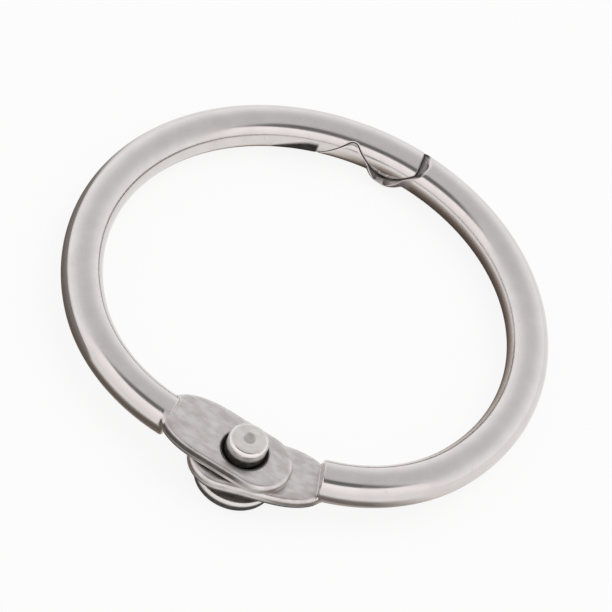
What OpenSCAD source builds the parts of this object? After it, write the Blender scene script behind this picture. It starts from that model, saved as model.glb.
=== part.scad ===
// Hinged snap ring for loose sheets: two half rings of round wire, the same but for
// the right one's bulging neck, riveted together at flattened ends, with hooked ends
// that snap shut.
// Millimetres. The ring's centre is the origin, the hinge is at -Y and the
// closure at +Y. The ring lies as it rests, on the rivet's head and the wire
// under the closure.

/* [Ring] */
// clear diameter inside the closed ring
ring_inner_d = 25; // [15:0.5:60]
// thickness of the round wire
wire_d = 2.5; // [2:0.1:4]
// where the wire starts to bend in towards the hinge, counted from the hinge
bend_from = 60; // [40:1:80]

/* [Hinge] */
// width of the flattened ends
paddle_w = 4.2; // [3.4:0.1:6]
// rivet's axis to the step where the round wire begins
paddle_root = 4.8; // [4:0.1:8]
// rivet's axis to the rounded tip of a flattened end
paddle_tip = 3.1; // [2.2:0.1:4]
// lean of the straight flattened ends from a line across the ring
paddle_lean = 11; // [5:0.5:16]
// length over which a flattened end widens
paddle_shoulder = 2.6; // [1:0.1:3.2]
// how far the outer face is pressed in from the wire's crown
paddle_press = 0.25; // [0.1:0.05:0.4]
// rounding of the flattened ends' edges
paddle_edge = 0.36; // [0.2:0.02:0.45]
// space between the two flattened ends
paddle_gap = 0.14; // [0.08:0.01:0.2]

/* [Rivet] */
// rivet's shank
shank_d = 1.8; // [1.2:0.1:2.4]
// clearance of the shank in the bores, on the radius
shank_play = 0.05; // [0.02:0.01:0.1]
// radius of the countersunk mouth of each bore
sink_r = 1.5; // [1.2:0.05:1.7]
// rivet's broad head, below
head_d = 4.9; // [3.4:0.1:6]
// thickness of the head
head_h = 0.95; // [0.6:0.05:1.6]
// rounding of the head's rim
head_edge = 0.35; // [0.2:0.05:0.6]
// space between the head and the lower flattened end
head_play = 0.03; // [0.02:0.01:0.1]
// rivet's small peened end, above
tail_d = 2.45; // [2.1:0.05:3.4]
// how far the peened end stands up from the plate
tail_h = 1.1; // [0.5:0.05:1.6]
// rounding of the peened end's rim
tail_edge = 0.3; // [0.1:0.05:0.5]
// space under the peened end, above the upper bore's mouth
tail_play = 0.13; // [0.08:0.01:0.2]
// radius of the pit in each end of the rivet
pit_r = 0.42; // [0.2:0.02:0.6]
// depth of those pits
pit_h = 0.16; // [0.05:0.01:0.3]

/* [Closure] */
// how far each tooth stands past the ring's middle plane
tooth_h = 0.85; // [0.5:0.05:1]
// rounding of the teeth and of their notches
tooth_round = 0.5; // [0.3:0.05:0.7]
// slope of the teeth's flanks from the wire's line
flank_angle = 42; // [40:1:65]
// clearance between the two hooked ends
lap_gap = 0.05; // [0.03:0.01:0.1]
// how much of each hook's sharp tip is cut square
tip_cut = 0.6; // [0.2:0.05:0.8]
// how far the right hook's pressed neck stands out past the wire, inside the ring
neck_out = 0.7; // [0.1:0.05:0.9]
// thickness left off the crown of the pressed neck
neck_flat = 0.1; // [0.05:0.05:0.5]
// rounding of the pressed neck's rim
neck_edge = 1.0; // [0.2:0.05:1.1]

/* [Hidden] */
$fn = 72;
wire_r = wire_d / 2;
ring_r = (ring_inner_d + wire_d) / 2;          // ring's centre to the wire's line
bend_r = (ring_r * sin(bend_from) - paddle_root * cos(paddle_lean)) / (sin(bend_from) - sin(paddle_lean));
hinge_r = (ring_r - bend_r) * cos(bend_from) + bend_r * cos(paddle_lean) + paddle_root * sin(paddle_lean);
paddle_z = paddle_gap / 2;                     // inner face of a flattened end
paddle_t = wire_r - paddle_press - paddle_z;   // its thickness
bury = 0.2 * wire_d;                           // a flattened end starts this far inside the wire
root_w = 0.24 * wire_d;                        // and at this half width
tip_r = min(paddle_w / 2, paddle_tip - 0.1);
bore_r = shank_d / 2 + shank_play;
seat_z = wire_r - paddle_press;                // outer faces that the rivet holds
head_z = seat_z + head_play + head_h;          // head's underside, below the middle plane
head_e = min(head_edge, head_h / 2);
tail_e = min(tail_edge, tail_h / 2);
tail_z = seat_z + tail_h;
tail_foot = seat_z - (sink_r - tail_d / 2) + tail_play; // peened end's underside, in the bore's mouth
pit_ball = (pit_r * pit_r + pit_h * pit_h) / (2 * pit_h);

// closure: one tooth's centre, and where its outer flank meets the wire's skin
cb = cos(flank_angle);
sb = sin(flank_angle);
tooth_z = tooth_h - tooth_round;
tooth_x = (tooth_z * cb + tooth_round) / sb;
flank_k = tooth_x * sb + tooth_z * cb + tooth_round;
foot_x = (wire_r * cb + flank_k) / sb;
tip_x = foot_x - tip_cut;
lap_a = (foot_x + 1) / ring_r * 180 / PI;
neck_x = tooth_x + 0.1 * wire_d;

// rest: the head's rounded rim and the wire under the closure touch one plane
reach = hinge_r - (head_d / 2 - head_e) + ring_r;
drop = head_z - head_e;
rest_tilt = atan2(drop, reach) - asin((wire_r - head_e) / sqrt(reach * reach + drop * drop));

// round wire of one half, from the hooked end to the step: the ring's bend and the tighter one
module wire() {
  rotate([0, 0, 270 - bend_from]) {
    mirror([0, 1, 0]) rotate_extrude(angle = 180 - bend_from + lap_a) translate([ring_r, 0]) circle(wire_r);
    translate([ring_r - bend_r, 0, 0])
      rotate_extrude(angle = bend_from - paddle_lean) translate([bend_r, 0]) circle(wire_r);
  }
}

// outline of a flattened end, d inside its edge: the rivet's axis is the origin, the wire is at +X
ARC = 12;
function paddle_outline(d) =
  let (w = paddle_w / 2, full = paddle_root - paddle_shoulder, a = paddle_shoulder + bury, b = w - root_w)
  concat(
    [for (i = [0:2 * ARC]) let (t = 90 + 90 * i / ARC) [tip_r - paddle_tip + (tip_r - d) * cos(t), (w - d) * sin(t)]],
    [for (i = [0:ARC]) let (t = 90 * i / ARC - 90) [full + (a - d) * cos(t), (b - d) * sin(t) - root_w]],
    [for (i = [0:ARC]) let (t = 90 * i / ARC) [full + (a - d) * cos(t), (b - d) * sin(t) + root_w]]);

// one layer of that outline for each height, the rims rounded
EDGE = 4;
module paddle() {
  e = paddle_edge;
  turns = concat([for (i = [0:EDGE]) [-90 + 90 * i / EDGE, e]], [for (i = [0:EDGE]) [90 * i / EDGE, paddle_t - e]]);
  layers = [for (k = turns) [for (p = paddle_outline(e - e * cos(k[0]))) [p[0], p[1], paddle_z + k[1] + e * sin(k[0])]]];
  n = len(layers[0]);
  last = len(layers) - 1;
  polyhedron(
    points = [for (l = layers) each l],
    faces = concat(
      [[for (i = [0:n - 1]) i]],
      [[for (i = [n - 1:-1:0]) last * n + i]],
      [for (k = [0:last - 1], i = [0:n - 1])
        let (p = k * n + i, q = k * n + (i + 1) % n)
        each [[p, p + n, q], [q, p + n, q + n]]]));
}

// what the upper hook leaves free: everything under its toothed edge
module hook_free() {
  c = lap_gap / 2;
  far = foot_x + 2 * wire_d;
  low = -wire_r - 1;
  top = wire_r + 1;
  steps = 8;
  rotate([90, 0, 0]) translate([0, 0, -ring_r - 2 * wire_d]) linear_extrude(4 * wire_d)
    polygon(concat(
      [[(low * cb - flank_k - c) / sb, low]],
      [for (i = [0:steps]) let (a = 90 + flank_angle - 2 * flank_angle * i / steps)
        [-tooth_x + (tooth_round + c) * cos(a), tooth_z + (tooth_round + c) * sin(a)]],
      [for (i = [0:steps]) let (a = 270 - flank_angle + 2 * flank_angle * i / steps)
        [tooth_x + (tooth_round - c) * cos(a), -tooth_z + (tooth_round - c) * sin(a)]],
      [[tip_x, (tip_x * sb - flank_k + c) / cb], [tip_x, top], [far, top], [far, low]]));
}

// the neck beside the tooth, pressed flat and standing out past the wire inside the ring
module pressed_neck() {
  e = neck_edge;
  w = wire_r + neck_out / 2;
  top = wire_r - neck_flat;
  translate([-neck_x, ring_r - neck_out / 2, 0]) rotate_extrude() difference() {
    union() {
      translate([0, -top]) square([w - e, 2 * top]);
      translate([0, e - top]) square([w, 2 * (top - e)]);
      for (z = [e - top, top - e]) translate([w - e, z]) circle(e);
    }
    translate([-w, -wire_d]) square([w, 2 * wire_d]);
  }
}

// one half ring, upper at both ends: it fills -X
module half_ring(bulging) {
  difference() {
    union() {
      wire();
      if (bulging) pressed_neck();
    }
    hook_free();
  }
  translate([0, -hinge_r, 0]) rotate([0, 0, 180 - paddle_lean]) difference() {
    paddle();
    cylinder(h = 2 * wire_d, r = bore_r);
    translate([0, 0, seat_z - sink_r]) cylinder(h = 2 * sink_r, r1 = 0, r2 = 2 * sink_r);
  }
}

module rivet() {
  translate([0, -hinge_r, 0]) rotate_extrude() difference() {
    union() {
      translate([0, -head_z + 0.1]) square([shank_d / 2, head_z + tail_z - 0.2]);
      translate([0, -head_z]) {
        square([head_d / 2 - head_e, head_h]);
        translate([0, head_e]) square([head_d / 2, head_h - head_e]);
        translate([head_d / 2 - head_e, head_e]) circle(head_e);
      }
      translate([0, tail_foot]) {
        square([tail_d / 2 - tail_e, tail_z - tail_foot]);
        square([tail_d / 2, tail_z - tail_foot - tail_e]);
        translate([tail_d / 2 - tail_e, tail_z - tail_foot - tail_e]) circle(tail_e);
      }
    }
    for (z = [-head_z - pit_ball + pit_h, tail_z + pit_ball - pit_h]) translate([0, z]) circle(pit_ball);
    translate([-head_d, -2 * head_z]) square([head_d, 4 * head_z]);
  }
}

module left_half() {
  color([0.76, 0.75, 0.74]) rotate([-rest_tilt, 0, 0]) half_ring(false);
}

module right_half() {
  color([0.72, 0.71, 0.71]) rotate([-rest_tilt, 0, 0]) rotate([0, 180, 0]) half_ring(true);
}

module hinge_rivet() {
  color([0.8, 0.79, 0.77]) rotate([-rest_tilt, 0, 0]) rivet();
}

left_half();
right_half();
hinge_rivet();
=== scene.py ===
import math

import bmesh
import bpy
import numpy as np
from mathutils import Matrix, Vector


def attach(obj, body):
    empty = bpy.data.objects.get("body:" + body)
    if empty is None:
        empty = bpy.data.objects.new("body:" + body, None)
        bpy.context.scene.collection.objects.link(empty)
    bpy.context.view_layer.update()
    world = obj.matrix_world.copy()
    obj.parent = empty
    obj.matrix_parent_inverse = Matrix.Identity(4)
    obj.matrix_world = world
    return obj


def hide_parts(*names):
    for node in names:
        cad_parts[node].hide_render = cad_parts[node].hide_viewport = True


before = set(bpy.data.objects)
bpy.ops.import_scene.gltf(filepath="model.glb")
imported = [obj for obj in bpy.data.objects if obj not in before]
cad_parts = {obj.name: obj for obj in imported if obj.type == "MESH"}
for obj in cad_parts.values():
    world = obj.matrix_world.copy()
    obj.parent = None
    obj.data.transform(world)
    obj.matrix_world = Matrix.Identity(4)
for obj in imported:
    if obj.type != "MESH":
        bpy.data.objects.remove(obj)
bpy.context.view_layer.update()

# -------- sizes in millimetres, as in the part's source
WIRE_R = 1.25
RING_R = 13.75
BEND_FROM = 60.0                 # degrees from the hinge
P_W, P_ROOT, P_TIP, P_LEAN, P_SHOULDER = 4.2, 4.8, 3.1, 11.0, 2.6
P_PRESS, P_EDGE, P_GAP = 0.25, 0.36, 0.14
SHANK_R, SHANK_PLAY, SINK_R = 0.9, 0.05, 1.5
HEAD_R, HEAD_H, HEAD_E, HEAD_PLAY = 2.45, 0.95, 0.35, 0.03
TAIL_R, TAIL_H, TAIL_E, TAIL_PLAY = 1.225, 1.1, 0.3, 0.13
PIT_R, PIT_H = 0.42, 0.16
TOOTH_H, TOOTH_R, FLANK, LAP, TIP_CUT = 0.85, 0.5, 42.0, 0.05, 0.6
NECK_OUT, NECK_FLAT, NECK_E = 0.7, 0.1, 1.0

rad = math.radians
SL, CL = math.sin(rad(P_LEAN)), math.cos(rad(P_LEAN))
SBF, CBF = math.sin(rad(BEND_FROM)), math.cos(rad(BEND_FROM))
BEND_R = (RING_R * SBF - P_ROOT * CL) / (SBF - SL)
HINGE_R = (RING_R - BEND_R) * CBF + BEND_R * CL + P_ROOT * SL
P_Z = P_GAP / 2
P_T = WIRE_R - P_PRESS - P_Z
P_MID = P_Z + P_T / 2
BURY, ROOT_W = 0.2 * 2 * WIRE_R, 0.24 * 2 * WIRE_R
BORE_R = SHANK_R + SHANK_PLAY
SEAT_Z = WIRE_R - P_PRESS
HEAD_Z = SEAT_Z + HEAD_PLAY + HEAD_H
TAIL_Z = SEAT_Z + TAIL_H
TAIL_FOOT = SEAT_Z - (SINK_R - TAIL_R) + TAIL_PLAY
SB, CB = math.sin(rad(FLANK)), math.cos(rad(FLANK))
TOOTH_Z = TOOTH_H - TOOTH_R
TOOTH_X = (TOOTH_Z * CB + TOOTH_R) / SB
FLANK_K = TOOTH_X * SB + TOOTH_Z * CB + TOOTH_R
FOOT_X = (WIRE_R * CB + FLANK_K) / SB
TIP_X = FOOT_X - TIP_CUT
NECK_X = TOOTH_X + 0.1 * 2 * WIRE_R
REACH = HINGE_R - (HEAD_R - HEAD_E) + RING_R
DROP = HEAD_Z - HEAD_E
REST_TILT = math.atan2(DROP, REACH) - math.asin((WIRE_R - HEAD_E) / math.hypot(REACH, DROP))

BEND_AT = 270 - BEND_FROM        # direction from the centre at which the bend starts, degrees
BEND_C = (RING_R - BEND_R) * np.array([math.cos(rad(BEND_AT)), math.sin(rad(BEND_AT))])
BLADE_O = np.array([0.0, -HINGE_R])
BLADE_X = np.array([math.cos(rad(180 - P_LEAN)), math.sin(rad(180 - P_LEAN))])   # from the rivet to the wire
BLADE_Y = np.array([-BLADE_X[1], BLADE_X[0]])                                   # out of the ring
UP = np.array([0.0, 0.0, 1.0])

EDGE_K = 0.10                    # softness of the cut edges
NECK_K, STEP_K, ROOT_K = 0.10, 0.14, 0.07        # and of the neck's foot, the wire's end and the plate's root
HOOK_Y = 8.0                     # the hooked end lies beyond this


# -------- the half ring as a distance function
def smax(a, b, k):
    h = np.maximum(k - np.abs(a - b), 0.0) / k
    return np.maximum(a, b) + h * h * k / 4


def smin(a, b, k):
    return -smax(-a, -b, k)


def rounded(a, b, e):
    """Meeting of two regions with a round edge of radius e."""
    qa, qb = a + e, b + e
    return np.minimum(np.maximum(qa, qb), 0.0) + np.hypot(np.maximum(qa, 0.0), np.maximum(qb, 0.0)) - e


def wedge(u, v):
    """Distance to a wedge that opens downward from the origin; u is positive."""
    line = u * SB + v * CB
    return np.where((u * CB - v * SB < 0) & (line > 0), np.hypot(u, v), line)


def hook_body(x, z):
    """What the toothed cut leaves of the hooked end."""
    c = LAP / 2
    left = -(wedge(np.abs(x + TOOTH_X), z - TOOTH_Z) - (TOOTH_R + c))
    right = wedge(np.abs(x - TOOTH_X), -(z + TOOTH_Z)) - (TOOTH_R - c)
    m = np.where(x * CB - z * SB < 0, left, right)
    return smax(m, x - TIP_X, EDGE_K)


def hook_end(p, bulging):
    x, y, z = p[..., 0], p[..., 1], p[..., 2]
    d = np.hypot(np.hypot(x, y) - RING_R, z) - WIRE_R
    if bulging:
        neck = rounded(np.hypot(x + NECK_X, y - (RING_R - NECK_OUT / 2)) - (WIRE_R + NECK_OUT / 2),
                       np.abs(z) - (WIRE_R - NECK_FLAT), NECK_E)
        d = smin(d, neck, NECK_K)
    return smax(d, hook_body(x, z), EDGE_K)


def bend_angle(p):
    return np.degrees(np.arctan2(p[..., 1] - BEND_C[1], p[..., 0] - BEND_C[0])) % 360.0


def plain_wire(p):
    one = np.hypot(p[..., 0], p[..., 1]) - RING_R
    two = np.hypot(p[..., 0] - BEND_C[0], p[..., 1] - BEND_C[1]) - BEND_R
    return np.hypot(np.where(bend_angle(p) > BEND_AT, two, one), p[..., 2]) - WIRE_R


def blade_xy(p):
    q = p[..., :2] - BLADE_O
    return q @ BLADE_X, q @ BLADE_Y


def plate_outline(x, y):
    """Distance to a flattened end's outline, seen from above."""
    w = P_W / 2
    tip_r = min(w, P_TIP - 0.1)
    full = P_ROOT - P_SHOULDER
    a, b = P_SHOULDER + BURY, w - ROOT_W
    yy = np.maximum(np.abs(y) - ROOT_W, 0.0)
    u = np.maximum(x - full, 0.0)
    rho = np.maximum(np.hypot(u / a, yy / b), 1e-6)
    lean = np.maximum(np.hypot(u / a ** 2, yy / b ** 2), 1e-9)
    return np.where(x < tip_r - P_TIP, np.hypot(x - (tip_r - P_TIP), y) - tip_r,
                    np.where(x < full, np.abs(y) - w, (1 - 1 / rho) * rho ** 2 / lean))


def blade_end(p):
    x, y = blade_xy(p)
    z = p[..., 2]
    off = np.where(x > P_ROOT, np.hypot(p[..., 0] - BEND_C[0], p[..., 1] - BEND_C[1]) - BEND_R, y)
    wire = smax(np.hypot(off, z) - WIRE_R, P_ROOT - x, STEP_K)
    plate = rounded(plate_outline(x, y), np.abs(z - P_MID) - P_T / 2, P_EDGE)
    return smin(wire, plate, ROOT_K)


def regions(p, bulging):
    """Which part of the half each point is on, with that part's distance function."""
    x, _ = blade_xy(p)
    hook = p[:, 1] > HOOK_Y
    blade = (p[:, 1] < 0) & (x < P_ROOT + 2)
    return ((hook, lambda q: hook_end(q, bulging)), (blade, blade_end), (~hook & ~blade, plain_wire))


def outward(p, bulging):
    """Surface normals, from the distance function itself."""
    e = 2e-3
    out = np.zeros_like(p)
    for mask, dist in regions(p, bulging):
        q = p[mask]
        g = np.stack([dist(q + e * np.eye(3)[a]) - dist(q - e * np.eye(3)[a]) for a in range(3)], 1)
        out[mask] = g / np.maximum(np.linalg.norm(g, axis=1), 1e-9)[:, None]
    return out


def grain_at(p):
    """For the metal's marks: millimetres along the wire, across it and up; and how far it is pressed flat."""
    x, y = blade_xy(p)
    arc = RING_R * rad(180 - BEND_FROM)
    end = arc + BEND_R * rad(BEND_FROM - P_LEAN)
    a = bend_angle(p)
    on_bend = (a > BEND_AT) & (p[:, 1] < 0)
    on_blade = (p[:, 1] < 0) & (x < P_ROOT)
    run = RING_R * np.arctan2(-p[:, 0], p[:, 1])
    run = np.where(on_bend, arc + BEND_R * np.radians(a - BEND_AT), run)
    run = np.where(on_blade, end + P_ROOT - x, run)
    across = np.hypot(p[:, 0], p[:, 1]) - RING_R
    across = np.where(on_bend, np.hypot(p[:, 0] - BEND_C[0], p[:, 1] - BEND_C[1]) - BEND_R, across)
    across = np.where(on_blade, y, across)
    pressed = np.where(p[:, 1] < 0, np.clip((P_ROOT + 0.04 - x) / 0.08, 0, 1), 0.0)
    return np.stack([run, across, p[:, 2]], 1), pressed


# -------- sections along the half, from the hook's tip to the plate's tip
RAYS = 720
REACH_OUT = 3.6                  # no point of a section is farther than this from its centre
PART = (44, 30, 44, 30)          # columns on a section's underside, outer side, top and inner side
NARROW = 0.03                    # least length given to one of those four
CROWD = 0.55                     # how far a section's points draw together at its corners


def surface_along(dist, c, d, far):
    """Where rays from c meet the surface."""
    lo, hi = np.zeros(len(d)), np.full(len(d), far)
    for _ in range(26):
        mid = (lo + hi) / 2
        inside = dist(c + mid[:, None] * d) < 0
        lo, hi = np.where(inside, mid, lo), np.where(inside, hi, mid)
    return c + lo[:, None] * d


def section(dist, c, u, stretch):
    """Outline of the solid in the plane of u and up through c, set out between its four corners."""
    t = np.linspace(0, 2 * np.pi, RAYS, endpoint=False)
    d = np.cos(t)[:, None] * u * stretch + np.sin(t)[:, None] * UP
    p = surface_along(dist, c, d / np.linalg.norm(d, axis=1)[:, None], REACH_OUT)
    a, b = p @ u, p @ UP
    corner = [int(np.argmax(i * a + j * b)) for i, j in ((-1, -1), (1, -1), (1, 1), (-1, 1))]
    run = np.concatenate([[0.0], np.cumsum(np.linalg.norm(np.roll(p, -1, 0) - p, axis=1))])
    total = run[-1]
    at = [run[k] for k in corner]
    for i in (1, 2, 3):
        while at[i] < at[i - 1] - 1e-9:
            at[i] += total
        at[i] = max(at[i], at[i - 1] + NARROW)
    at.append(at[0] + total)
    want = []
    for i, n in enumerate(PART):
        s = np.arange(n) / n
        want.append(at[i] + (at[i + 1] - at[i]) * (s - CROWD * np.sin(2 * np.pi * s) / (2 * np.pi)))
    want = np.concatenate(want) % total
    closed = np.vstack([p, p[:1]])
    return np.stack([np.interp(want, run, closed[:, k]) for k in range(3)], 1)


def spaced(*stops):
    """Values from stop to stop; each stop is (value, step to the next)."""
    out = []
    for (a, step), (b, _) in zip(stops[:-1], stops[1:]):
        n = max(1, int(round(abs(b - a) / step)))
        out += list(a + (b - a) * np.arange(n) / n)
    return out + [stops[-1][0]]


def smooth(t):
    t = min(max(t, 0.0), 1.0)
    return t * t * (3 - 2 * t)


HOOK_ENDS = 30                   # degrees from the closure where the plain wire begins
TURNED_BY = 36                   # and where the sections stand square to the wire
CLOSE_OUT = 3.0                  # no point of a closed end is farther than this from its centre


# a section is (distance function, centre, across, stretch)
def wire_sections(bulging):
    """Planes across the wire's line at the closure, turned to the wire's own after it."""
    def hook(q):
        return hook_end(q, bulging)

    out = []
    hook_to = FOOT_X + 0.2
    z = np.linspace(-WIRE_R, WIRE_R, 400)
    for x in spaced((TIP_X - 0.07, 0.02), (TIP_X - 0.2, 0.036), (-hook_to, 0.1), (-hook_to - 0.4, 0.1)):
        ok = hook_body(np.full_like(z, x), z) < 0
        low = z[int(np.argmax(ok))]
        mid = (low + WIRE_R) / 2 if low > 0.02 - WIRE_R else 0.0
        c = np.array([x, math.sqrt(RING_R ** 2 - x * x), mid])
        out.append((hook, c, np.array([0.0, 1.0, 0.0]), 1.0))
    t0 = math.degrees(math.asin((hook_to + 0.4) / RING_R))
    for t in spaced((t0 + 0.6, 0.8), (TURNED_BY, 1.4), (180 - BEND_FROM, 1.4)):
        turn = rad(t) * smooth((t - t0) / (TURNED_BY - t0))
        c = RING_R * np.array([-math.sin(rad(t)), math.cos(rad(t)), 0.0])
        dist = hook if t < HOOK_ENDS else plain_wire
        out.append((dist, c, np.array([-math.sin(turn), math.cos(turn), 0.0]), 1.0))
    return out


def bend_sections():
    """The tighter bend beside the hinge; the centres rise to the plate's middle before its end."""
    out = []
    end = BEND_FROM - P_LEAN
    for t in spaced((1.4, 1.5), (end - 7, 1.0), (end - 1.2, 0.5)):
        a = rad(BEND_AT + t)
        u = np.array([math.cos(a), math.sin(a), 0.0])
        c = np.append(BEND_C, 0.0) + BEND_R * u + UP * P_MID * smooth((t - (end - 7)) / 5.8)
        out.append((blade_end if t > end - 8 else plain_wire, c, u, 1.0))
    return out


def plate_sections():
    """The pressed plate, closer together at the step and at the rounded tip."""
    across = np.append(BLADE_Y, 0.0)
    tip_c = min(P_W / 2, P_TIP - 0.1) - P_TIP
    r = P_ROOT
    xs = spaced((r + 0.15, 0.025), (r + 0.08, 0.008), (r - 0.07, 0.02), (r - 0.2, 0.07),
                (r - P_SHOULDER, 0.14), (tip_c, 0.14))
    xs += [tip_c - (P_TIP + tip_c) * math.sin(t) for t in np.linspace(0.07, 1.44, 24)]
    return [(blade_end, np.append(BLADE_O + BLADE_X * x, P_MID), across,
             1.0 + 1.4 * min(max((r - x) / 1.2, 0.0), 1.0)) for x in xs]


def closing(at, outline, line):
    """Rounded closing of an end: the rays turn from the last section's plane to the half's line."""
    dist, c, _, _ = at
    flat = (outline - c) / np.linalg.norm(outline - c, axis=1)[:, None]
    turns = [math.pi / 2 * i / 7 for i in range(1, 7)]
    return ([surface_along(dist, c, math.cos(e) * flat + math.sin(e) * line, CLOSE_OUT) for e in turns],
            surface_along(dist, c, line[None], CLOSE_OUT)[0])


def tube_faces(m, n):
    """Faces of m rings of n points, each end closed by a fan about one of two more points."""
    i, j = np.arange(m - 1)[:, None] * n, np.arange(n)[None, :]
    k = (j + 1) % n
    faces = np.stack([i + j, i + n + j, i + n + k, i + k], -1).reshape(-1, 4).tolist()
    faces += [[m * n, q, (q + 1) % n] for q in range(n)]
    faces += [[m * n + 1, (m - 1) * n + (q + 1) % n, (m - 1) * n + q] for q in range(n)]
    return faces


def half_mesh(bulging):
    """Points and faces of one half ring, upper at both ends: it fills -X."""
    stations = wire_sections(bulging) + bend_sections() + plate_sections()
    rows = [section(*s) for s in stations]
    first, first_tip = closing(stations[0], rows[0], np.array([1.0, 0.0, 0.0]))
    last, last_tip = closing(stations[-1], rows[-1], -np.append(BLADE_X, 0.0))
    rows = first[::-1] + rows + last
    points = np.vstack([np.array(rows).reshape(-1, 3), first_tip, last_tip])
    return points, tube_faces(len(rows), sum(PART))


def new_object(name, points, faces):
    me = bpy.data.meshes.new(name)
    me.from_pydata(points.tolist(), [], faces)
    me.update()
    ob = bpy.data.objects.new(name, me)
    bpy.context.scene.collection.objects.link(ob)
    return ob


def spun(rows, turns):
    """Rows of (distance from an upright axis, height), each turned round that axis."""
    a = np.linspace(0, 2 * np.pi, turns, endpoint=False)
    ring = [rows[:, :1] * np.cos(a), rows[:, :1] * np.sin(a), np.repeat(rows[:, 1:], turns, 1)]
    return np.stack(ring, -1).reshape(-1, 3)


def revolve(profile, centre, turns):
    """Closed mesh about an upright axis; profile runs from axis to axis, upward on the outside."""
    prof = np.array(profile)
    body = spun(prof[1:-1], turns) + [*centre, 0.0]
    points = np.vstack([body, [*centre, prof[0][1]], [*centre, prof[-1][1]]])
    faces = [[f[0], *f[:0:-1]] for f in tube_faces(len(prof) - 2, turns)]
    return points, faces


# the rounded edge of the bore's mouth: out from SINK_R, and up from SEAT_Z
MOUTH_EDGE = ((-0.08, -0.08), (-0.02, -0.035), (0.05, -0.012), (0.14, 0.012))


def drilled(points, faces):
    """The half with its bore and the bore's countersunk mouth, whose rim is a little rounded."""
    base = SEAT_Z - (SINK_R - BORE_R)
    tool = [(0, -0.6), (BORE_R, -0.6), (BORE_R, base)]
    tool += [(SINK_R + out, SEAT_Z + up) for out, up in MOUTH_EDGE]
    tool += [(SINK_R + 0.3, SEAT_Z + 0.3), (0, SEAT_Z + 0.3)]
    body = new_object("drill_body", points, faces)
    drill = new_object("drill_tool", *revolve(tool, BLADE_O, 144))
    cut = body.modifiers.new("bore", "BOOLEAN")
    cut.operation, cut.solver, cut.object = "DIFFERENCE", "EXACT", drill
    me = bpy.data.meshes.new_from_object(body.evaluated_get(bpy.context.evaluated_depsgraph_get()))
    bm = bmesh.new()
    bm.from_mesh(me)
    bmesh.ops.triangulate(bm, faces=[f for f in bm.faces if len(f.verts) > 4])
    bmesh.ops.remove_doubles(bm, verts=bm.verts, dist=1e-5)
    pts = np.array([v.co[:] for v in bm.verts])
    bm.verts.index_update()
    out = [[v.index for v in f.verts] for f in bm.faces]
    bm.free()
    for o in (body, drill):
        bpy.data.objects.remove(o)
    return pts, out


def finished(name, points, faces, normals, grain, pressed, painted_shade):
    """A piece in metres, in the pose in which the ring lies. normals holds one row per face corner."""
    c, s = math.cos(-REST_TILT), math.sin(-REST_TILT)
    lean = np.array([[1, 0, 0], [0, c, -s], [0, s, c]])
    ob = new_object(name, points @ lean.T * 0.001, faces)
    me = ob.data
    me.polygons.foreach_set("use_smooth", [True] * len(me.polygons))
    me.normals_split_custom_set((normals @ lean.T).tolist())
    marks = me.attributes.new("grain", "FLOAT_VECTOR", "POINT")
    marks.data.foreach_set("vector", grain.astype(np.float32).ravel())
    # the painted shade goes with the points as an attribute, for the material
    for key, values in (("pressed", pressed), ("painted_shade", painted_shade)):
        me.attributes.new(key, "FLOAT", "POINT").data.foreach_set("value", values.astype(np.float32))
    return ob


def fade(value, full, none):
    """1 where value is at full, 0 where it is at none."""
    return np.clip((value - none) / (full - none), 0, 1)


SHADE_STRENGTH = 0.9                       # strength of the painted shade along the plates' rims and at the hooks' square tips


def hinge_shade(p, lower):
    """Painted shade in the bore's countersunk mouth, and a painted dark line of shade along the plate's rim,
    farther in on the lower half.
    """
    x, y = blade_xy(p)
    z = p[:, 2]
    mouth = np.where(z > P_Z + 0.02, fade(np.hypot(x, y), SINK_R - 0.07, SINK_R - 0.01), 0.0)
    rim = fade(plate_outline(x, y), -0.16, -0.34)
    if lower:
        rim = rim * fade(z, SEAT_Z - 0.30, SEAT_Z - 0.44)
    else:
        level = fade(z, SEAT_Z - 0.20, SEAT_Z - 0.10) * fade(z, SEAT_Z - 0.42, SEAT_Z - 0.50)
        rim = rim * level * fade(x, -0.4, -1.8)
    return np.maximum(mouth, SHADE_STRENGTH * rim)


def closure_shade(p, lower):
    """Painted shade along the toothed cut's gap and in the cleft beside it, and on one end of the pressed
    neck.
    """
    x, z = p[:, 0], p[:, 2]
    inward = RING_R - np.hypot(x, p[:, 1])
    near_cut = fade(np.abs(hook_body(x, z)), 0.04, 0.10)
    skin = fade(np.abs(WIRE_R - np.hypot(inward, z)), 0.10, 0.25)
    right = -x if lower else x                       # of the closure's middle, as the ring lies
    line = 0.95 * near_cut * (0.12 + 0.88 * skin) * fade(right, 0.2, -0.8)
    past_tip = -x - TIP_X                            # beyond the other half's square tip
    at_tip = fade(past_tip, 0.25, 0.45) * fade(past_tip, -0.15, -0.35) * fade(np.abs(z), 0.70, 0.95)
    shade_mask = np.maximum(line * fade(past_tip, 0.25, 0.45), SHADE_STRENGTH * near_cut * at_tip)
    hook = np.abs(x) < FOOT_X + 0.5
    if lower:
        bright = fade(inward, 1.15, 0.95)            # painted shade is mostly kept off the neck beside the cut
        neck_shade = fade(-x, 2.3, 1.6) * fade(-x, 2.8, 3.1) * fade(inward, 1.3, 0.9)
        shade_mask = np.maximum(shade_mask * (1 - 0.75 * bright), 0.35 * neck_shade)
    else:
        past_foot = -x - FOOT_X                      # beyond the end of the cut
        low = np.degrees(np.arctan2(z, inward))      # round the wire, from the ring's inside
        upto = 9.0 - 11.0 * np.maximum(past_foot, 0) ** 1.3
        # painted shade in the cleft, round the wire's inner and lower side
        cleft = fade(low, upto - 4, upto + 6) * (low > -100)
        cleft = cleft * fade(past_foot, -0.5, -0.62) * fade(past_foot, 1.9, 2.5)
        shade_mask = np.where(past_foot > -0.62, np.maximum(np.where(past_foot < 0.5, shade_mask, 0), cleft), shade_mask)
        hook = hook | ((past_foot > -0.5) & (past_foot < 3))
    return np.where(hook, shade_mask, 0.0)


# painted shade on the plates and the hooked ends, none on the plain wire
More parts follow.
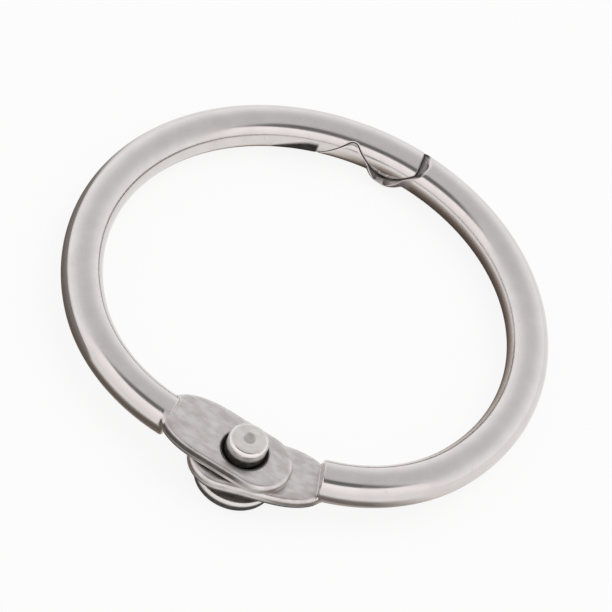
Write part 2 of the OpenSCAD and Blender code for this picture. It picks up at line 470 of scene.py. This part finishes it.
def shade_at(p, lower):
    x, _ = blade_xy(p)
    on_plate = (p[:, 1] < 0) & (x < P_ROOT)
    return np.where(on_plate, hinge_shade(p, lower), np.where(p[:, 1] > HOOK_Y, closure_shade(p, lower), 0.0))


def in_bore(p):
    """Whether points lie in the bore or its mouth."""
    x, y = blade_xy(p)
    inside = (p[:, 1] < 0) & (np.hypot(x, y) < SINK_R + 0.115)
    return inside & (p[:, 2] > P_Z + 0.01) & (p[:, 2] < SEAT_Z - 1e-4)


def bore_normals(p):
    """Their normals: level in the bore, at 45 degrees in the mouth and upright past its rounded edge."""
    x, y = blade_xy(p)
    r = np.maximum(np.hypot(x, y), 1e-6)
    knots = [BORE_R, BORE_R + 0.004, SINK_R - 0.08, SINK_R - 0.02, SINK_R + 0.05, SINK_R + 0.1]
    lift = np.radians(np.interp(r, knots, [0.0, 45.0, 45.0, 62.0, 80.0, 90.0]))
    flat = -(x[:, None] * np.append(BLADE_X, 0) + y[:, None] * np.append(BLADE_Y, 0)) / r[:, None]
    return flat * np.cos(lift)[:, None] + UP * np.sin(lift)[:, None]


def half(name, lower):
    """One half ring. The lower one has the bulging neck and is turned over, hinge and closure in place."""
    points, faces = drilled(*half_mesh(lower))
    grain, pressed = grain_at(points)
    painted_shade = shade_at(points, lower)
    corners = np.concatenate([np.array(f) for f in faces])
    owner = np.repeat(np.arange(len(faces)), [len(f) for f in faces])
    counts = np.bincount(owner)
    centre = np.stack([np.bincount(owner, points[corners, k]) / counts for k in range(3)], 1)
    bored = in_bore(centre)[owner]
    normals = np.where(bored[:, None], bore_normals(points)[corners], outward(points, lower)[corners])
    if lower:
        turn = np.array([-1.0, 1.0, -1.0])           # half a turn about the line from hinge to closure
        points, normals = points * turn, normals * turn
    return finished(name, points, faces, normals, grain, pressed, painted_shade)


def arc(cx, cy, r, a0, a1, n):
    return [(cx + r * math.cos(rad(a)), cy + r * math.sin(rad(a))) for a in np.linspace(a0, a1, n)]


def rivet_profile():
    """Distances from the axis and heights, from the head's pit to the peened end's."""
    ball = (PIT_R ** 2 + PIT_H ** 2) / (2 * PIT_H)
    span = math.degrees(math.asin(PIT_R / ball))
    base = -HEAD_Z
    top = base + HEAD_H
    p = arc(0, base - ball + PIT_H, ball, 90, 90 - span, 8)
    p += [(x, base) for x in np.linspace(PIT_R + 0.04, HEAD_R - HEAD_E - 0.04, 7)]
    p += arc(HEAD_R - HEAD_E, base + HEAD_E, HEAD_E, -90, 0, 14)
    p += [(HEAD_R, z) for z in np.linspace(base + HEAD_E + 0.05, top - 0.10, 9)]
    p += arc(HEAD_R - 0.05, top - 0.05, 0.05, 0, 90, 5)
    p += [(1.6, top), (SHANK_R + 0.05, top), (SHANK_R, top + 0.05), (SHANK_R, 0), (SHANK_R, TAIL_FOOT - 0.05)]
    p += [(SHANK_R + 0.05, TAIL_FOOT), (TAIL_R - 0.1, TAIL_FOOT)]
    p += arc(TAIL_R - 0.04, TAIL_FOOT + 0.04, 0.04, -90, 0, 5)
    p += [(TAIL_R, z) for z in np.linspace(TAIL_FOOT + 0.1, TAIL_Z - TAIL_E - 0.04, 10)]
    p += arc(TAIL_R - TAIL_E, TAIL_Z - TAIL_E, TAIL_E, 0, 90, 14)
    p += [(x, TAIL_Z) for x in np.linspace(TAIL_R - TAIL_E - 0.04, PIT_R + 0.04, 6)]
    p += arc(0, TAIL_Z + ball - PIT_H, ball, -90 + span, -90, 8)
    p[0], p[-1] = (0.0, p[0][1]), (0.0, p[-1][1])
    return p


def rivet_shade(out, z):
    """Painted shade round the peened end's foot, in its pit and along the head's lower rim."""
    foot = np.where(z > 0.5, fade(z, SEAT_Z + 0.32, SEAT_Z + 0.60), 0.0)
    pit = np.where(z > TAIL_Z - PIT_H - 0.1, 0.42 * fade(out, PIT_R - 0.12, PIT_R + 0.05), 0.0)
    rim = 0.95 * fade(out, HEAD_R - HEAD_E, HEAD_R - HEAD_E - 0.2) * fade(z, -HEAD_Z + 0.55, -HEAD_Z + 0.70)
    return np.maximum(np.maximum(foot, pit), rim)


def rivet_piece(name):
    """The rivet, its peened end and head marked by the hammer."""
    prof = rivet_profile()
    turns = 128                  # points round each of its circles
    points, faces = revolve(prof, BLADE_O, turns)
    d = np.gradient(np.array(prof), axis=0)
    nn = np.stack([d[:, 1], -d[:, 0]], 1)
    nn /= np.maximum(np.linalg.norm(nn, axis=1), 1e-9)[:, None]
    vert_n = np.vstack([spun(nn[1:-1], turns), -UP, UP])
    q = points - np.append(BLADE_O, 0)
    out, z = np.hypot(q[:, 0], q[:, 1]), q[:, 2]
    hammered = 0.8 * fade(np.abs(z), TAIL_Z - 0.08, TAIL_Z - 0.22) * fade(out, TAIL_R - 0.2, TAIL_R - 0.05)
    corners = np.concatenate([np.array(f) for f in faces])
    return finished(name, points, faces, vert_n[corners], q, hammered, rivet_shade(out, z))


# -------- materials
class Graph:
    """Short names for making and joining shader nodes."""

    def __init__(self, owner):
        owner.use_nodes = True
        self.tree = owner.node_tree
        self.tree.nodes.clear()

    def node(self, kind, **props):
        n = self.tree.nodes.new(kind)
        for k, v in props.items():
            setattr(n, k, v)
        return n

    def set(self, socket, value):
        if isinstance(value, bpy.types.NodeSocket):
            self.tree.links.new(value, socket)
        else:
            socket.default_value = value

    def math(self, kind, a, b=0.0):
        n = self.node("ShaderNodeMath", operation=kind)
        self.set(n.inputs[0], a)
        self.set(n.inputs[1], b)
        return n.outputs[0]

    def span(self, fac, lo, hi, a, b):
        n = self.node("ShaderNodeMapRange")
        self.set(n.inputs[0], fac)
        for i, v in enumerate((lo, hi, a, b)):
            n.inputs[i + 1].default_value = v
        return n.outputs[0]

    def mix(self, fac, a, b):
        n = self.node("ShaderNodeMix", data_type="FLOAT")
        self.set(n.inputs[0], fac)
        self.set(n.inputs[2], a)
        self.set(n.inputs[3], b)
        return n.outputs[0]

    def blend(self, fac, a, b):
        n = self.node("ShaderNodeMix", data_type="RGBA")
        self.set(n.inputs[0], fac)
        for i, v in ((6, a), (7, b)):
            self.set(n.inputs[i], (*v, 1) if isinstance(v, tuple) else v)
        return n.outputs[2]

    def scaled(self, vector, by):
        n = self.node("ShaderNodeVectorMath", operation="MULTIPLY")
        self.set(n.inputs[0], vector)
        n.inputs[1].default_value = by
        return n.outputs[0]

    def noise(self, vector, scale, detail=3.0, rough=0.5):
        n = self.node("ShaderNodeTexNoise")
        self.set(n.inputs["Vector"], vector)
        n.inputs["Scale"].default_value = scale
        n.inputs["Detail"].default_value = detail
        n.inputs["Roughness"].default_value = rough
        return n.outputs[0]

    def ramp(self, fac, stops):
        n = self.node("ShaderNodeValToRGB")
        while len(n.color_ramp.elements) < len(stops):
            n.color_ramp.elements.new(0.5)
        for e, (pos, colour) in zip(n.color_ramp.elements, stops):
            e.position, e.color = pos, (*colour, 1)
        self.set(n.inputs[0], fac)
        return n.outputs[0]

    def attribute(self, name):
        return self.node("ShaderNodeAttribute", attribute_name=name)


SATIN = (0.86, 0.84, 0.83)       # the lightest spots of the pressed metal
# colour of the painted shade
SHADE_TONE = (0.030, 0.025, 0.022)


def nickel(name, light, shade, speck):
    """Bright nickel plate: glossy on the drawn wire, satin with rolling marks where it is pressed flat, dark
    and dull where shade is painted on.
    """
    mat = bpy.data.materials.new(name)
    g = Graph(mat)
    bsdf = g.node("ShaderNodeBsdfPrincipled")
    g.set(g.node("ShaderNodeOutputMaterial").inputs[0], bsdf.outputs[0])
    grain = g.attribute("grain").outputs["Vector"]
    pressed = g.attribute("pressed").outputs["Fac"]
    painted_shade = g.attribute("painted_shade").outputs["Fac"]

    streak = g.noise(g.scaled(grain, (0.25, 3.6, 3.6)), 1.0, 4.0, 0.60)      # drawing and rolling marks
    cloud = g.noise(grain, 0.8, 3.0, 0.55)                                    # slow change of lustre
    fine = g.noise(grain, 13.0, 4.0, 0.6)                                     # the nickel's own grain
    lumps = g.noise(g.scaled(grain, (0.9, 1.6, 1.6)), 1.2, 2.0, 0.5)          # the press's uneven lustre
    pits = g.span(g.noise(grain, 5.5, 2.0, 0.5), 0.68, 0.76, 0.0, 1.0)        # small pits in the plating
    uneven = g.noise(grain, 3.0, 3.0, 0.6)                                    # painted shade, stronger and weaker in patches

    colour = g.blend(g.span(cloud, 0.35, 0.65, 0.0, 1.0), light, shade)
    colour = g.blend(g.math("MULTIPLY", pits, 0.30), colour, speck)
    colour = g.blend(g.math("MULTIPLY", pressed, g.span(streak, 0.48, 0.72, 0.0, 0.22)), colour, speck)
    colour = g.blend(g.math("MULTIPLY", pressed, g.span(lumps, 0.46, 0.70, 0.0, 0.32)), colour, speck)
    colour = g.blend(g.math("MULTIPLY", pressed, g.span(lumps, 0.52, 0.30, 0.0, 0.55)), colour, SATIN)
    # painted shade: dark, dull and unmetallic where the pieces carry it
    shade_mask = g.math("MULTIPLY", painted_shade, g.span(uneven, 0.30, 0.55, 0.94, 1.0))
    g.set(bsdf.inputs["Base Color"], g.blend(shade_mask, colour, SHADE_TONE))
    g.set(bsdf.inputs["Metallic"], g.span(shade_mask, 0.0, 1.0, 1.0, 0.0))
    g.set(bsdf.inputs["Specular IOR Level"], g.span(shade_mask, 0.0, 1.0, 0.5, 0.12))

    rough = g.mix(pressed, g.span(cloud, 0.3, 0.7, 0.11, 0.18), g.span(streak, 0.3, 0.7, 0.26, 0.40))
    rough = g.math("ADD", rough, g.math("MULTIPLY", pits, 0.10))
    g.set(bsdf.inputs["Roughness"], g.mix(shade_mask, rough, 0.75))

    lines = g.math("MULTIPLY", streak, g.span(pressed, 0.0, 1.0, 0.30, 1.0))
    hollow = g.math("MULTIPLY", pressed, g.noise(grain, 1.7, 2.0, 0.5))
    lines = g.math("ADD", lines, g.math("MULTIPLY", hollow, 3.0))
    bump = g.node("ShaderNodeBump")
    bump.inputs["Strength"].default_value = 0.25
    bump.inputs["Distance"].default_value = 0.00001
    g.set(bump.inputs["Height"], g.math("ADD", lines, g.math("MULTIPLY", fine, 0.22)))
    g.set(bsdf.inputs["Normal"], bump.outputs[0])
    return mat


# -------- the pieces
wire_mat = nickel("nickel_wire_plate", (0.730, 0.700, 0.692), (0.690, 0.662, 0.656), (0.40, 0.36, 0.33))
rivet_mat = nickel("nickel_rivet_plate", (0.860, 0.835, 0.820), (0.790, 0.765, 0.755), (0.45, 0.41, 0.37))
for piece, mat, body, node, slot in (
        (half("left_half_wire", False), wire_mat, "left_ring", "left_half", "nickel_wire"),
        (half("right_half_wire", True), wire_mat, "right_ring", "right_half", "nickel_wire"),
        (rivet_piece("hinge_rivet_turned"), rivet_mat, "rivet", "hinge_rivet", "nickel_rivet")):
    piece.data.materials.append(mat)
    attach(piece, body)
    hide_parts(node)

# -------- table top, in metres: white to the camera, and with the ring's shadow
FLOOR_Z = -0.001 * (RING_R * math.sin(REST_TILT) + WIRE_R)
TABLE = 0.6                      # half its width
SEEN, MIRRORED = 0.88, 0.95      # how much of it glows, to the camera and in the metal
WHITE = (1.0, 1.0, 1.0)
RING_IN, RING_OUT = 0.001 * (RING_R - WIRE_R), 0.001 * (RING_R + WIRE_R)
CLOSE_BY = 0.006                 # metal farther off casts no shade
TO_METAL = (0.72, 0.68, 0.12)    # which way from a shaded place the metal stands
# painted shade of the table in reflections, from open to closed in
SHADES = ((0.50, (0.07, 0.05, 0.037)), (0.67, (0.19, 0.15, 0.12)), (0.76, (0.47, 0.41, 0.36)),
          (0.85, (0.82, 0.77, 0.72)), (1.0, (0.95, 0.94, 0.935)))
# colour of the painted band of shade
SHADE_BAND = (0.10, 0.08, 0.065)


def mirrored_table(g):
    """Colour of the table in the metal's reflections alone, with shade painted on round the ring; it gives
    the ring's dark lower edges.
    """
    place = g.node("ShaderNodeNewGeometry").outputs["Position"]

    def measured(kind, against):
        n = g.node("ShaderNodeVectorMath", operation=kind)
        g.set(n.inputs[0], place)
        n.inputs[1].default_value = against
        return n.outputs["Value"]

    away = measured("LENGTH", (0, 0, 0))                                     # from the ring's centre

    def toward(direction):
        return g.math("DIVIDE", measured("DOT_PRODUCT", direction), away)

    # shade is painted on it where metal stands close on its right and far side, less so by the hinge
    close = g.node("ShaderNodeAmbientOcclusion", samples=8)
    close.inputs["Distance"].default_value = CLOSE_BY
    lean = g.node("ShaderNodeCombineXYZ")
    for i, v in enumerate(TO_METAL):
        lean.inputs[i].default_value = v
    g.set(close.inputs["Normal"], lean.outputs[0])
    by_hinge = measured("DISTANCE", (0.0, -0.001 * HINGE_R - 0.001, FLOOR_Z))
    by_hinge = g.span(by_hinge, 0.0027, 0.0041, 1.0, 0.0)
    clear = g.math("ADD", close.outputs["AO"], g.math("MULTIPLY", by_hinge, 0.32))
    # inside the ring the painted shade is lighter, apart from the ring's right side
    inside = g.span(away, RING_IN - 0.0003, RING_IN + 0.0005, 1.0, 0.0)
    lighter = g.span(toward((0.84, 0.54, 0)), 0.30, 0.60, 0.35, 0.0)
    clear = g.math("ADD", clear, g.math("MULTIPLY", lighter, inside))
    shade = g.ramp(clear, SHADES)
    # a painted dark band of shade lies round the ring's near side, wider on the left
    wider = g.span(toward((-1, 0, 0)), 0.75, 0.95, 0.0, 0.014)
    outer = g.math("SUBTRACT", away, wider)
    band = g.math("MULTIPLY", g.span(away, RING_OUT - 0.0006, RING_OUT + 0.0002, 0.0, 0.85),
                  g.span(outer, RING_OUT + 0.0018, RING_OUT + 0.0040, 1.0, 0.0))
    band = g.math("MULTIPLY", band, g.span(toward((-0.6, -0.8, 0)), 0.0, 0.3, 0.0, 1.0))
    band = g.math("MULTIPLY", band, g.math("SUBTRACT", 1.0, by_hinge))
    return g.blend(band, shade, SHADE_BAND)


def white_table():
    corners = np.array([(i * TABLE, j * TABLE, FLOOR_Z) for i, j in ((-1, -1), (1, -1), (1, 1), (-1, 1))])
    top = new_object("table_top", corners, [[0, 1, 2, 3]])
    mat = bpy.data.materials.new("white_table")
    g = Graph(mat)
    paint = g.node("ShaderNodeBsdfDiffuse")
    paint.inputs[0].default_value = (0.92, 0.915, 0.91, 1)
    glow = g.node("ShaderNodeEmission")
    rays = g.node("ShaderNodeLightPath").outputs
    seen = g.math("MAXIMUM", rays["Is Camera Ray"], rays["Is Transmission Ray"])
    glossy = rays["Is Glossy Ray"]
    g.set(glow.inputs[0], g.blend(glossy, WHITE, mirrored_table(g)))
    both = g.node("ShaderNodeMixShader")
    g.set(both.inputs[0], g.math("ADD", g.math("MULTIPLY", seen, SEEN), g.math("MULTIPLY", glossy, MIRRORED)))
    g.set(both.inputs[1], paint.outputs[0])
    g.set(both.inputs[2], glow.outputs[0])
    g.set(g.node("ShaderNodeOutputMaterial").inputs[0], both.outputs[0])
    top.data.materials.append(mat)


# -------- light: an even pale room, in reflections with a dark stretch high up on the camera's side
ROOM_LIGHT = 0.72

# what the metal mirrors: height (0 is the horizon, 1 is overhead), strength, pinkness
FAR_SIDE = ((0.0, 1.06, 0), (0.25, 0.98, 0), (0.5, 0.87, 0),
            (0.7, 0.74, 0.2), (0.85, 0.67, 0.2), (1.0, 0.64, 0.2))
NEAR_SIDE = ((0.0, 0.96, 1), (0.30, 1.06, 1), (0.66, 1.18, 1), (0.705, 0.20, 0), (0.865, 0.14, 0),
             (0.92, 0.56, 0), (1.0, 0.64, 0.2))


def pale_room(scene):
    world = bpy.data.worlds.new("studio")
    scene.world = world
    g = Graph(world)
    sep = g.node("ShaderNodeSeparateXYZ")
    g.set(sep.inputs[0], g.node("ShaderNodeTexCoord").outputs["Generated"])

    def sky(stops):
        pale = [(z, v * (1 + 0.02 * pink), v * (1 - 0.025 * pink)) for z, v, pink in stops]
        return g.ramp(sep.outputs[2], [(z, (red, rest, rest)) for z, red, rest in pale])

    def background(colour, strength):
        n = g.node("ShaderNodeBackground")
        g.set(n.inputs[0], colour)
        n.inputs[1].default_value = strength
        return n.outputs[0]

    def chosen(fac, a, b):
        n = g.node("ShaderNodeMixShader")
        for i, v in enumerate((fac, a, b)):
            g.set(n.inputs[i], v)
        return n.outputs[0]

    room = g.blend(g.span(sep.outputs[1], -0.32, -0.12, 0.0, 1.0), sky(NEAR_SIDE), sky(FAR_SIDE))
    rays = g.node("ShaderNodeLightPath").outputs
    lit = chosen(rays["Is Glossy Ray"], background((*WHITE, 1), ROOM_LIGHT), background(room, 1.0))
    shown = chosen(rays["Is Camera Ray"], lit, background((*WHITE, 1), 1.0))     # the camera sees plain white
    g.set(g.node("ShaderNodeOutputWorld").inputs[0], shown)


KEY_AT, KEY_SIZE, KEY_WATTS = (0.12, 0.14, 0.32), 0.22, 0.26


def soft_key(scene):
    """Weak square lamp behind the ring on the right, for the shadow. The metal doesn't mirror it."""
    lamp = bpy.data.lights.new("soft_key", "AREA")
    lamp.shape, lamp.size, lamp.energy = "SQUARE", KEY_SIZE, KEY_WATTS
    key = bpy.data.objects.new("soft_key", lamp)
    key.location = KEY_AT
    key.rotation_euler = (-Vector(key.location)).to_track_quat("-Z", "Y").to_euler()
    key.visible_glossy = False
    scene.collection.objects.link(key)


# -------- camera, at the photograph's viewing angle and aimed at the ring's centre
ELEV, ROLL = 50.7, 23.0          # degrees: above the table; turn of the picture, clockwise
SPAN, DIST = 0.0365, 0.45        # metres: across the picture at the ring; from it


def camera(scene):
    el, roll = rad(ELEV), rad(ROLL)
    across = Vector((1.0, 0.0, 0.0))
    back = Vector((0.0, -math.cos(el), math.sin(el)))
    above = back.cross(across)
    rx = across * math.cos(roll) + above * math.sin(roll)
    ry = above * math.cos(roll) - across * math.sin(roll)
    cam_data = bpy.data.cameras.new("camera")
    cam_data.sensor_width = 36.0
    cam_data.lens = cam_data.sensor_width * DIST / SPAN
    cam_data.clip_start = 0.01
    cam = bpy.data.objects.new("camera", cam_data)
    pose = Matrix((rx, ry, back)).transposed().to_4x4()
    pose.translation = back * DIST
    cam.matrix_world = pose
    scene.collection.objects.link(cam)
    scene.camera = cam


white_table()
stage = bpy.context.scene
stage.view_settings.view_transform = "Standard"
pale_room(stage)
soft_key(stage)
camera(stage)
